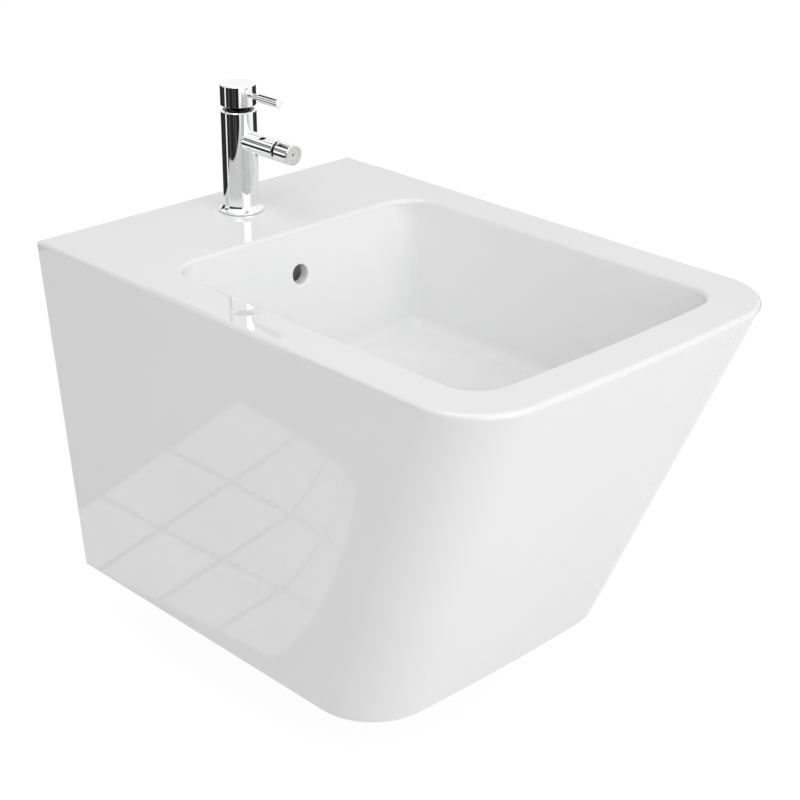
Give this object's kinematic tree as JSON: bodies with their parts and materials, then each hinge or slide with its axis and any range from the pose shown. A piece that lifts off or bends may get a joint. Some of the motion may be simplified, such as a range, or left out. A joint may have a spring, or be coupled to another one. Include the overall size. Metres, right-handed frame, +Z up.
{
  "type": "wall-hung bidet",
  "caption": "Wall-hung ceramic bidet with tapered sides, raked bowed front, rectangular basin, overflow, lever mixer tap with swivel nozzle, push-to-close waste and wall fixings.",
  "frame": {"origin": "midway between the two wall studs, on the face of the wall", "axes": "+Z up, -Y out from the wall towards the user, +X to the right of someone facing the bidet"},
  "size_m": [0.36, 0.5665, 0.443],
  "materials": {
    "glaze": "glossy white vitreous glaze",
    "chrome": "polished chrome plate",
    "zinc_steel": "zinc-plated steel",
    "white_plastic": "moulded white plastic",
    "grey_plastic": "moulded grey plastic",
    "black_rubber": "black rubber",
    "brass": "turned brass",
    "disc_ceramic": "lapped ceramic disc"
  },
  "bodies": {
    "fixture": {"ceramic_shell": "glaze", "ceramic_basin": "glaze", "wall_studs": "zinc_steel", "wall_sleeves": "white_plastic", "wall_washers": "zinc_steel", "wall_nuts": "zinc_steel", "tap_body": "chrome", "tap_base_ring": "chrome", "tap_base_seal": "black_rubber", "tap_stud": "zinc_steel", "tap_clamp_pad": "black_rubber", "tap_clamp_plate": "zinc_steel", "tap_clamp_nut": "brass", "cartridge_housing": "grey_plastic", "cartridge_base": "grey_plastic", "cartridge_seals": "black_rubber", "cartridge_fixed_disc": "disc_ceramic", "dome_nut": "chrome", "spout_tube": "chrome", "waste_body": "chrome", "waste_top_seal": "black_rubber", "waste_bottom_seal": "black_rubber", "waste_washer": "white_plastic", "waste_nut": "brass", "plug_barrel": "brass"},
    "rotor": {"cartridge_rotor": "grey_plastic", "cartridge_pin": "zinc_steel"},
    "lever": {"cartridge_spindle": "brass", "lever_cap": "chrome", "lever_stem": "chrome", "lever_grip": "chrome"},
    "disc": {"cartridge_moving_disc": "disc_ceramic"},
    "seat": {"ball_seat": "white_plastic"},
    "nozzle": {"nozzle_ball": "chrome", "nozzle_housing": "chrome", "flow_insert": "white_plastic", "flow_insert_seal": "black_rubber"},
    "plug": {"plug_plunger": "brass", "plug_cap": "chrome", "plug_seal": "black_rubber"}
  },
  "joints": [
    {"name": "lever_turn", "type": "hinge", "parent": "fixture", "child": "rotor", "pos_m": [0, -0.055, 0.16], "axis": [0, 0, 1], "range_deg": [-45, 45]},
    {"name": "lever_lift", "type": "hinge", "parent": "rotor", "child": "lever", "pos_m": [0, -0.055, 0.16], "axis": [-1, 0, 0], "range_deg": [0, 20]},
    {"name": "disc_slide", "type": "slide", "parent": "rotor", "child": "disc", "axis": [0, -1, 0], "range_m": [0, 0.0048]},
    {"name": "nozzle_turn", "type": "hinge", "parent": "fixture", "child": "seat", "pos_m": [0, -0.1045, 0.146], "axis": [0, -1, 0], "continuous": true},
    {"name": "nozzle_tilt", "type": "hinge", "parent": "seat", "child": "nozzle", "pos_m": [0, -0.1045, 0.146], "axis": [1, 0, 0], "range_deg": [-12, 12]},
    {"name": "plug_push", "type": "slide", "parent": "fixture", "child": "plug", "axis": [0, 0, -1], "range_m": [0, 0.008]}
  ],
  "couplings": [
    {"joint": "disc_slide", "follows": "lever_lift", "m_per_rad": 0.01372}
  ]
}
